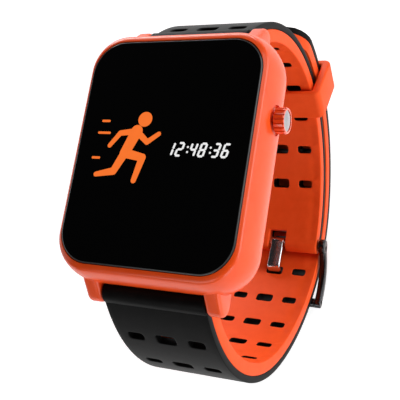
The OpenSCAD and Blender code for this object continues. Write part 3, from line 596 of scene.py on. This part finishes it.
def hole_points(cx, cy, w, h):
    """Rounded hole with as many points as edge_points, matched side by side."""
    corners = ((1, 1), (-1, 1), (-1, -1), (1, -1))
    r = HOLE_CORNER
    points = []
    for k, (sx, sy) in enumerate(corners):
        ex, ey = corners[(k + 1) % 4]
        start = (cx + sx * (w / 2 - r), cy + sy * (h / 2 - r))
        end = (cx + ex * (w / 2 - r), cy + ey * (h / 2 - r))
        for c, a in ((start, 45), (start, 67.5), (start, 90), (None, 0), (end, 90), (end, 112.5)):
            if c is None:
                n = math.radians(90 * (k + 1))
                points.append(((start[0] + end[0]) / 2 + r * math.cos(n),
                               (start[1] + end[1]) / 2 + r * math.sin(n)))
                continue
            angle = math.radians(90 * k + a)
            points.append((c[0] + r * math.cos(angle), c[1] + r * math.sin(angle)))
    return points


def x_lines():
    """Lines along the strap, from one edge to the other."""
    side = [-STRAP_W / 2 + (STRAP_W / 2 - SPLIT_X) * i / SIDE_STEPS for i in range(SIDE_STEPS)]
    middle = [-SPLIT_X + 2 * SPLIT_X * i / SIDE_STEPS for i in range(SIDE_STEPS + 1)]
    return side + middle + [-x for x in reversed(side)]


def flat_layer(length, rows, notch=0.0):
    """Flat pattern of a strap layer: faces in the plane (x, s), with rounded holes.

    rows are the places of the rows along the strap. notch opens the middle from there on."""
    lines = x_lines()
    faces, places, index = [], [], {}

    def vertex(p):
        key = (round(p[0], 4), round(p[1], 4))
        if key not in index:
            index[key] = len(places)
            places.append(key)
        return index[key]

    def plain(s0, s1):
        steps = max(1, round((s1 - s0) / FACE_L))
        for i in range(steps):
            a, b = s0 + (s1 - s0) * i / steps, s0 + (s1 - s0) * (i + 1) / steps
            for x0, x1 in zip(lines, lines[1:]):
                middle = (x0 + x1) / 2
                if notch and a > notch - 0.01 and abs(middle) < NOTCH_HALF:
                    continue
                faces.append([vertex(p) for p in ((x0, a), (x1, a), (x1, b), (x0, b))])

    def cell(x0, x1, s, hole_x, w, h):
        outer = edge_points(x0, s - ROW_HALF, x1, s + ROW_HALF)
        inner = hole_points(hole_x, s, w, h)
        whole = 1 + RIM_SHARE
        between = [((ax + bx * RIM_SHARE) / whole, (ay + by * RIM_SHARE) / whole)
                   for (ax, ay), (bx, by) in zip(outer, inner)]
        for near, far in ((outer, between), (between, inner)):
            for i in range(len(near)):
                j = (i + 1) % len(near)
                faces.append([vertex(p) for p in (near[i], near[j], far[j], far[i])])

    here = 0.0
    for s in rows:
        plain(here, s - ROW_HALF)
        cell(-STRAP_W / 2, -SPLIT_X, s, -COLUMN_X, SIDE_HOLE_W, SIDE_HOLE_H)
        cell(-SPLIT_X, SPLIT_X, s, 0, HOLE_W, HOLE_H)
        cell(SPLIT_X, STRAP_W / 2, s, COLUMN_X, SIDE_HOLE_W, SIDE_HOLE_H)
        here = s + ROW_HALF
    if notch:
        plain(here, notch)
        here = notch
    plain(here, length)
    return places, faces


def tail_narrow(s, length):
    """Share of the width left near the rounded tail."""
    left = length - s
    if left >= TAIL_R:
        return 1.0
    gone = TAIL_R - math.sqrt(max(TAIL_R ** 2 - (TAIL_R - left) ** 2, 0))
    return (STRAP_W / 2 - gone) / (STRAP_W / 2)


def in_slot(p, rows):
    """Whether a point of the flat pattern is on the wall of a slot."""
    return (any(abs(p.y - s) < HOLE_H / 2 + SLOT_MARGIN for s in rows) and
            any(abs(abs(p.x) - x) < HOLE_W / 2 + SLOT_MARGIN for x in (0, COLUMN_X)))


def strap_layer(name, pattern, at, t0, t1, material, node, rows, length=None, extra=()):
    """A layer between offsets t0 and t1 from the middle face, bent round the loop.

    The walls of an orange layer's slots are given the black rubber.
    length is given for the half with the rounded tail."""
    places, faces = pattern
    verts = [(x * (tail_narrow(s, length) if length else 1), s, 0) for x, s in places]
    flat = piece(name, (verts, faces), material, riding=False)
    solid = flat.modifiers.new("thickness", "SOLIDIFY")
    solid.thickness = (t1 - t0) * MM
    solid.offset = 1.0 if flat.data.polygons[0].normal.z > 0 else -1.0
    edges = flat.modifiers.new("edges", "BEVEL")
    edges.width = STRAP_LIP * MM
    edges.segments = 3
    edges.limit_method = "ANGLE"
    edges.angle_limit = math.radians(55)
    edges.use_clamp_overlap = True
    applied(flat)
    if material is rubber_orange:
        flat.data.materials.append(rubber_black)
        for face in flat.data.polygons:
            if abs(face.normal.z) < 0.4 and in_slot(face.center / MM, rows):
                face.material_index = 1
    crease_x = x_lines()[1]
    for v in flat.data.vertices:
        x, s, t = v.co.x / MM, v.co.y / MM, v.co.z / MM + t0
        if material is rubber_orange and abs(abs(x) + crease_x) < 0.02 and t < t0 + 0.02:
            t += CREASE_DEPTH
        p, normal = at(s)
        v.co = Vector(loop_point(x, p + normal * t)) * MM
    if extra:
        other = piece("extra", joined(*extra), material, riding=False)
        whole = bmesh.new()
        whole.from_mesh(flat.data)
        whole.from_mesh(other.data)
        whole.to_mesh(flat.data)
        whole.free()
        bpy.data.objects.remove(other)
    face_outwards(flat.data)
    finish_mesh(flat, 38)
    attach(flat, "case")
    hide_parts(node)


lower_len = sum(LOWER_LEN)
rows_back = math.floor((TONGUE_S - ROW_MARGIN) / ROW_PITCH)
rows_on = math.floor((lower_len - TONGUE_S - ROW_MARGIN) / ROW_PITCH)
lower_rows = [TONGUE_S + i * ROW_PITCH for i in range(-rows_back, rows_on + 1)]
upper_row_count = math.floor((UPPER_LEN - FIRST_ROW - UPPER_MARGIN) / ROW_PITCH) + 1
upper_rows = [FIRST_ROW + i * ROW_PITCH for i in range(upper_row_count)]
notch_start = UPPER_LEN - math.radians(NOTCH_ANGLE) * MID_R


def lug_barrel(end):
    """The strap's round end between the lugs on the side end of Y."""
    return rounded_rod(-STRAP_W / 2, STRAP_W / 2, BARREL_R, end * PIN_Y, PIN_Z, ROLL_LIP)


lower_pattern = flat_layer(lower_len, lower_rows)
strap_layer("strap_lower_black", lower_pattern, lower_at, 0.0, OUTER_T, rubber_black,
            "lower_strap_outer", lower_rows, length=lower_len, extra=[lug_barrel(-1)])
strap_layer("strap_lower_orange", lower_pattern, lower_at, -INNER_T, 0.0, rubber_orange,
            "lower_strap_inner", lower_rows, length=lower_len)
upper_pattern = flat_layer(UPPER_LEN, upper_rows, notch=notch_start)
cap_len = UPPER_LEN - math.radians(CAP_ANGLE) * MID_R
cap_pattern = flat_layer(cap_len, upper_rows, notch=notch_start)
strap_layer("strap_upper_black", cap_pattern, upper_at, 0.0, OUTER_T, rubber_black,
            "upper_strap_outer", upper_rows, extra=[lug_barrel(1)])
buckle_y, buckle_z = BUCKLE_POS[0], LOOP_Z + BUCKLE_POS[1]
end_rolls = [rounded_rod(x0, x1, END_BARREL_R, buckle_y, buckle_z, ROLL_LIP)
             for x0, x1 in ((-STRAP_W / 2, -NOTCH_HALF), (NOTCH_HALF, STRAP_W / 2))]
strap_layer("strap_upper_orange", upper_pattern, upper_at, -INNER_T, 0.0, rubber_orange,
            "upper_strap_inner", upper_rows, extra=end_rolls)


# ---- keeper ----
def keeper_geometry():
    """The keeper's wall, swept round its rectangle, with a rounded section."""
    room_in, room_out = IN_R - LOOSE, LAP_OUT_R + LOOSE
    inner_w, outer_w = STRAP_W + 2 * LOOSE, STRAP_W + 2 * LOOSE + 2 * KEEPER_SIDE
    inner_mid = (room_in + room_out) / 2
    outer_mid = (room_in - KEEPER_IN + room_out + KEEPER_OUT) / 2
    inner_corner, outer_corner, lip, half = 0.5, 1.5, 0.55, KEEPER_L / 2
    inner = rounded_rect(inner_w, room_out - room_in, inner_corner, 6)
    outer = rounded_rect(outer_w, room_out - room_in + KEEPER_IN + KEEPER_OUT, outer_corner, 6)
    section = []
    for k, (u, v) in enumerate(((1, 1), (0, 1), (0, -1), (1, -1))):
        for i in range(5):
            a = math.radians(90 * (k + i / 4))
            section.append((u, v * (half - lip) + lip * math.sin(a), lip * math.cos(a)))
    out, along = out_dir(KEEPER_ANGLE), out_dir(KEEPER_ANGLE + 90)
    loops = []
    for (xi, ri), (xo, ro) in zip(inner, outer):
        pi, po = Vector((xi, inner_mid + ri)), Vector((xo, outer_mid + ro))
        wall = (po - pi).normalized()
        loop = []
        for u, v, d in section:
            base = po - wall * lip if u else pi + wall * lip
            p = base + wall * d
            rho = math.sqrt(p[1] ** 2 - v ** 2)
            q = out * rho + along * v
            loop.append(loop_point(p[0], q))
        loops.append(loop)
    return stitch(loops, ring=True)


keeper = piece("strap_keeper", keeper_geometry(), rubber_orange, body="keeper",
               stands_for=["keeper"], smooth=40)


# ---- buckle ----
ARM_ROUND, TONGUE_ROUND = 0.42, 0.4
EAR_LIP, BOSS_LIP, BAR_LIP, HUB_LIP = 0.4, 0.3, 0.2, 0.25
BOSS_PROUD, BAR_PAST = 0.05, 0.2          # of the arm's round end, and the bar's end in it


def bow(p, q, r):
    """Centre of the arc through p and q that bulges away from the loop's centre."""
    middle, half = (p + q) / 2, (q - p) / 2
    n = Vector((half[1], -half[0])).normalized()
    k = math.sqrt(r * r - half.dot(half))
    return middle + (-n if middle.dot(n) > 0 else n) * k


def buckle_geometry():
    """Both arms, each with its round ends at the spring bar and at the crossbar."""
    c = bow(BUCKLE_POS, CROSSBAR_POS, ARM_BOW_R)
    a1, a2 = dir_angle(CROSSBAR_POS - c), dir_angle(BUCKLE_POS - c)
    steps = 24
    path = [c + ARM_BOW_R * out_dir(a2 + (a1 - a2) * i / steps) for i in range(steps + 1)]
    section = rounded_rect(ARM_T, ARM_H, ARM_ROUND, 4)
    parts = []
    for side in (-1, 1):
        x = side * (STRAP_W / 2 + LOOSE + ARM_T / 2)
        verts, faces = swept(path, section)
        parts.append(([(px + x, py, pz) for px, py, pz in verts], faces))
        parts.append(rounded_rod(x - ARM_T / 2, x + ARM_T / 2, EAR_R, buckle_y, buckle_z, EAR_LIP))
        parts.append(rounded_rod(x - ARM_T / 2, x + ARM_T / 2, CROSSBAR_R + BOSS_PROUD,
                                 CROSSBAR_POS[0], LOOP_Z + CROSSBAR_POS[1], BOSS_LIP))
    return parts


buckle = piece("buckle_arms", joined(*buckle_geometry()), gunmetal, body="buckle",
               stands_for=["buckle_frame"], smooth=40)
bar_half = STRAP_W / 2 + LOOSE + BAR_PAST
crossbar = piece("buckle_crossbar",
                 rounded_rod(-bar_half, bar_half, CROSSBAR_R, CROSSBAR_POS[0],
                             LOOP_Z + CROSSBAR_POS[1], BAR_LIP),
                 gunmetal, body="buckle", smooth=40)


def smooth_path(points):
    """Open path with its corners cut three times."""
    for _ in range(3):
        cut = [points[0]]
        for p, q in zip(points, points[1:]):
            cut += [p * 0.75 + q * 0.25, p * 0.25 + q * 0.75]
        points = cut + [points[-1]]
    return points


def tongue_geometry():
    """The strip under the strap, up through its hole and over the crossbar, and its hub."""
    arm_r, steps = END_R - HUB_R + TONGUE_T / 2, 6
    sweep = TONGUE_ANGLE - TONGUE_BEND - BUCKLE_ANGLE
    arm = [(arm_r + TONGUE_DROP * (i / steps) ** 2) * out_dir(BUCKLE_ANGLE + sweep * i / steps)
           for i in range(steps + 1)]
    leg_top = (TONGUE_POINT + (OUTER_T + TONGUE_RISE) * out_dir(TONGUE_DIR)
               - Vector((TONGUE_DROP, 0)))
    over_bar = CROSSBAR_POS + (CROSSBAR_R + TONGUE_SEAT + TONGUE_T / 2) * out_dir(CROSSBAR_ANGLE)
    tip = over_bar + TONGUE_NOSE * out_dir(CROSSBAR_ANGLE + NOSE_ANGLE)
    path = smooth_path(arm + [leg_top, over_bar, tip])
    section = rounded_rect(TONGUE_W, TONGUE_T, TONGUE_ROUND, 5)
    hub = rounded_rod(-TONGUE_W / 2, TONGUE_W / 2, HUB_R, buckle_y, buckle_z, HUB_LIP)
    return joined(swept(path, section), hub)


tongue = piece("buckle_pin_strip", tongue_geometry(), chrome, body="tongue",
               stands_for=["buckle_tongue"], smooth=40)


# ---- crown ----
CROWN_POINTS = CROWN_GROOVES * 8
GROOVE_SHARE, GROOVE_POWER = 0.1, 0.7     # depth against the radius, and roundness
KNURL_IN = 0.12                           # rings further inside the crown's radius stay round
CROWN_CLEAR = 0.15                        # from the pocket's floor, pushed in
DOME_RISE = 0.24
DISC_IN, DISC_FIT, DISC_SEAT, DISC_PROUD = 0.45, 0.02, 0.24, 0.1


def crown_wave(r, i):
    """Grooves of the knurl."""
    if r < CROWN_R - KNURL_IN:
        return 1
    a = i * CROWN_GROOVES / CROWN_POINTS % 1
    return 1 - GROOVE_SHARE * max(0.0, math.cos(2 * math.pi * a)) ** GROOVE_POWER


crown_x0 = CASE_W / 2 - POCKET_DEPTH + CROWN_TRAVEL + CROWN_CLEAR
crown_x1 = CASE_W / 2 + CROWN_L - DISC_PROUD
disc_r = CROWN_R - DISC_IN
crown_profile = [(crown_x0, CROWN_R - 0.3), (crown_x0 + 0.06, CROWN_R - 0.1),
                 (crown_x0 + 0.2, CROWN_R)]
knurl_steps = 6
crown_profile += [(crown_x0 + 0.2 + (crown_x1 - 0.5 - crown_x0) * i / knurl_steps, CROWN_R)
                  for i in range(1, knurl_steps + 1)]
crown_profile += [(crown_x1 - 0.2, CROWN_R - 0.02), (crown_x1 - 0.1, CROWN_R - 0.07),
                  (crown_x1 - 0.03, CROWN_R - 0.16), (crown_x1, CROWN_R - 0.28),
                  (crown_x1 - 0.03, disc_r + 0.02), (crown_x1 - 0.25, disc_r)]
crown_cap = piece("crown_knurled",
                  lathe_x(crown_profile, CROWN_Y, HALF_T, CROWN_POINTS, crown_wave),
                  crown_shell, body="crown", stands_for=["crown_cap"], smooth=35)
dome = [(crown_x1 - DISC_SEAT, disc_r - DISC_FIT)]
dome += [(crown_x1 + DISC_PROUD - DOME_RISE * k ** 2, (disc_r - 0.03) * k)
         for k in (1, 0.85, 0.7, 0.5, 0.3, 0.01)]
crown_disc = piece("crown_button", lathe_x(dome, CROWN_Y, HALF_T), spun_steel, body="crown",
                   stands_for=["crown_disc"], smooth=40)


# ---- display graphics: own pictogram and generic digits, inlaid in the glass ----
INK_Z = CASE_T - 0.010   # just above the glass
INK_T, INK_STEP = 0.004, 0.0004           # thickness, and rise from one stroke to the next


def stroke(p, q, r0, r1, level, n=18):
    """Flat rounded stroke from p to q, with the radii r0 and r1 at its ends."""
    p, q = Vector(p), Vector(q)
    a = math.atan2(q.y - p.y, q.x - p.x)
    outline = []
    for centre, r, start in ((q, r1, a - math.pi / 2), (p, r0, a + math.pi / 2)):
        for i in range(n + 1):
            b = start + math.pi * i / n
            outline.append((centre.x + r * math.cos(b), centre.y + r * math.sin(b)))
    z = INK_Z + INK_STEP * level
    return stitch([[(x, y, z - INK_T) for x, y in outline], [(x, y, z) for x, y in outline]])


def runner():
    """A sprinting figure made of straight rounded limbs."""
    hip, neck, knee_f, foot_f = (-6.6, -0.6), (-5.0, 3.4), (-3.0, -1.3), (-3.9, -5.4)
    knee_b, foot_b, elbow_f, hand_f = (-8.2, -3.9), (-11.6, -4.6), (-2.6, 1.5), (-0.6, 3.0)
    elbow_b, hand_b = (-8.2, 3.0), (-9.9, 0.7)
    limbs = [(neck, hip, 1.15, 1.0), (hip, knee_f, 0.85, 0.7), (knee_f, foot_f, 0.7, 0.5),
             (hip, knee_b, 0.85, 0.7), (knee_b, foot_b, 0.7, 0.45), (neck, elbow_f, 0.6, 0.5),
             (elbow_f, hand_f, 0.5, 0.42), (neck, elbow_b, 0.6, 0.5), (elbow_b, hand_b, 0.5, 0.42)]
    return [stroke(p, q, r0, r1, k) for k, (p, q, r0, r1) in enumerate(limbs)]


def speed_lines():
    """Short level strokes behind the figure."""
    places, r = ((-12.6, -10.4, 3.0), (-12.9, -11.6, -1.6), (-12.2, -10.9, 5.2)), 0.22
    return [stroke((x0, y), (x1, y), r, r, 12 + k) for k, (x0, x1, y) in enumerate(places)]


SEGMENTS = {"a": ((0, 1), (1, 1)), "b": ((1, 1), (1, 0)), "c": ((1, 0), (1, -1)),
            "d": ((0, -1), (1, -1)), "e": ((0, 0), (0, -1)), "f": ((0, 1), (0, 0)),
            "g": ((0, 0), (1, 0))}
DIGITS = {"0": "abcdef", "1": "bc", "2": "abged", "3": "abgcd", "4": "fgbc", "5": "afgcd",
          "6": "afgedc", "8": "abcdefg", "9": "abcdfg"}


def digits(text, x, y, h):
    """Seven-segment numbers, leaning a little, from x on."""
    parts, w, r, lean = [], h * 0.42, h * 0.085, 0.12
    for k, letter in enumerate(text):
        if letter == ":":
            parts += [stroke((x + r, y + s * h * 0.2), (x + r + 0.01, y + s * h * 0.2), r, r, k)
                      for s in (-1, 1)]
            x += h * 0.34
            continue
        for name in DIGITS[letter]:
            (ax, ay), (bx, by) = SEGMENTS[name]
            ends = []
            for px, py in ((ax, ay), (bx, by)):
                ends.append((x + px * w + lean * py * h, y + py * h / 2))
            gap = (Vector(ends[1]) - Vector(ends[0])).normalized() * r * 1.15
            parts.append(stroke(Vector(ends[0]) + gap, Vector(ends[1]) - gap, r, r, k))
        x += w + h * 0.36
    return parts


piece("screen_figure", joined(*runner()), ink_orange)
piece("screen_dot", stroke((-3.75, 5.6), (-3.74, 5.6), 1.35, 1.35, 10, n=32), ink_orange)
piece("screen_lines", joined(*speed_lines()), ink_orange)
piece("screen_digits", joined(*digits("12:48:36", 1.7, 0.4, 2.2)), ink_white)


# ---- coil springs of the spring bars ----
def half_coil(side, y, z):
    """Half of a coil spring, from its middle out to the tip at that side."""
    steps_per_turn, wire_sides, r = 16, 8, SPRING_R - WIRE_R
    steps = SPRING_COILS // 2 * steps_per_turn
    rise = (FLANGE_X - 2 * WIRE_R) / steps
    loops = []
    for i in range(steps + 1):
        a = 2 * math.pi * i / steps_per_turn
        out = Vector((0, math.cos(a), math.sin(a)))
        along = Vector((side * rise * steps_per_turn / (2 * math.pi), -r * out.z, r * out.y))
        across = along.normalized().cross(out)
        centre = Vector((side * (WIRE_R + rise * i), y, z)) + out * r
        loops.append([tuple(centre + (out * math.cos(b) + across * math.sin(b)) * WIRE_R)
                      for b in (2 * math.pi * k / wire_sides for k in range(wire_sides))])
    return stitch(loops)


for place, (y, z) in (("upper", (PIN_Y, PIN_Z)), ("lower", (-PIN_Y, PIN_Z)),
                      ("buckle", (buckle_y, buckle_z))):
    for hand, side in (("left", -1), ("right", 1)):
        coil = piece(f"{place}_coil_{hand}", half_coil(side, y, z), steel)
        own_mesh(coil)
    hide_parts(f"{place}_spring")

# ---- finishes of the CAD nodes that stay ----
FINISHES = {
    "rear_cover": black_plastic, "rear_gasket": black_plastic, "rear_screws": steel,
    "sensor_window": glass_black, "sensor_board": board, "sensor_leds": ceramic,
    "photodiode": grey, "charge_contacts": gold, "glass_adhesive": black_plastic,
    "display_panel": glass_black, "display_flex": amber, "chassis": grey, "main_board": board,
    "board_chips": black_plastic, "shield_can": steel, "gps_antenna": ceramic, "battery": grey,
    "battery_pad": black_plastic, "battery_plug": ceramic, "motor_can": steel,
    "motor_rotor": gold, "crown_tube": steel, "crown_collar": gunmetal, "crown_stem": steel,
    "crown_oring": rubber_black, "switch_body": black_plastic, "switch_plunger": ceramic,
}
for node, material in FINISHES.items():
    for material_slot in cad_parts[node].material_slots:
        material_slot.material = material
for place in ("upper", "lower", "buckle"):
    for node in ("bar", "tip_left", "tip_right"):
        for material_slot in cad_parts[f"{place}_{node}"].material_slots:
            material_slot.material = steel

# ---- studio ----
FLOOR_Z = (LOOP_Z - LAP_OUT_R) * MM
FLOOR_HALF = 1.5         # metres
floor_mesh = bpy.data.meshes.new("floor")
floor_mesh.from_pydata([(x * FLOOR_HALF, y * FLOOR_HALF, FLOOR_Z)
                        for x, y in ((-1, -1), (1, -1), (1, 1), (-1, 1))], [], [(0, 1, 2, 3)])
floor = bpy.data.objects.new("floor", floor_mesh)
bpy.context.scene.collection.objects.link(floor)
paper = grained("studio_paper", ((0.9, 0.9, 0.9), (0.92, 0.92, 0.92)),
                60, 0.0, POLISHED, (0.8, 0.9), Emission_Strength=0.62, Emission_Color=(1, 1, 1, 1))
floor_mesh.materials.append(paper)


def softbox(name, place, size, power):
    """Rectangular lamp at a place in metres, turned towards the watch."""
    light = bpy.data.lights.new(name, "AREA")
    light.shape = "RECTANGLE"
    light.size, light.size_y = size
    light.energy = power
    obj = bpy.data.objects.new(name, light)
    obj.location = place
    aim = Vector(CENTRE) - Vector(place)
    obj.rotation_euler = aim.to_track_quat("-Z", "Y").to_euler()
    bpy.context.scene.collection.objects.link(obj)


CENTRE = (0, 0, -0.02)   # of the watch, in metres
softbox("key", (0.35, 0.30, 0.42), (0.4, 0.4), 1.1)
softbox("back", (-0.25, 0.62, 0.06), (0.6, 0.16), 3.6)
softbox("side", (0.40, 0.10, 0.06), (0.5, 0.12), 1.05)
softbox("fill", (0.42, -0.42, 0.04), (0.3, 0.2), 0.7)
softbox("front", (-0.1, -0.6, 0.30), (0.5, 0.3), 1.4)
softbox("left", (-0.6, -0.05, 0.10), (0.4, 0.5), 0.7)
world = bpy.data.worlds.new("studio")
world.use_nodes = True
background = world.node_tree.nodes["Background"].inputs
background["Color"].default_value = (1, 1, 1, 1)
background["Strength"].default_value = 0.02
bpy.context.scene.world = world
bpy.context.scene.view_settings.view_transform = "Standard"
